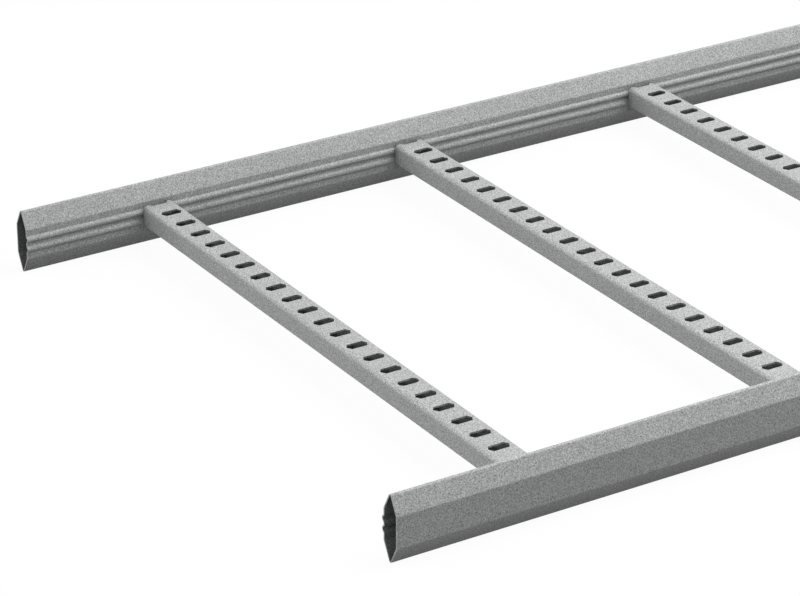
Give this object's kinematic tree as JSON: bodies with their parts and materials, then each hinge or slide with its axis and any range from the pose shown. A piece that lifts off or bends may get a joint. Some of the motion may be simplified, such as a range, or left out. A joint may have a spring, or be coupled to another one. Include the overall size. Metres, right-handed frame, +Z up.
{
  "type": "cable ladder section",
  "caption": "Straight cable ladder section with hollow beaded side rails and slotted channel rungs, galvanised steel.",
  "frame": {"origin": "middle of the section, on the floor under the rails' lower apexes", "axes": "+X along the rails away from the end the picture shows, +Y across to the left rail, +Z up"},
  "size_m": [3, 0.6, 0.055],
  "materials": {
    "rail_steel": "hot-dip galvanised sheet, fine grain, matt grey",
    "rung_steel": "hot-dip galvanised sheet, fine grain, matt grey"
  },
  "bodies": {
    "root": {"side_rail_left": "rail_steel", "side_rail_right": "rail_steel", "rung_01": "rung_steel", "rung_02": "rung_steel", "rung_03": "rung_steel", "rung_04": "rung_steel", "rung_05": "rung_steel", "rung_06": "rung_steel", "rung_07": "rung_steel", "rung_08": "rung_steel", "rung_09": "rung_steel", "rung_10": "rung_steel", "rung_11": "rung_steel", "rung_12": "rung_steel"}
  },
  "joints": []
}
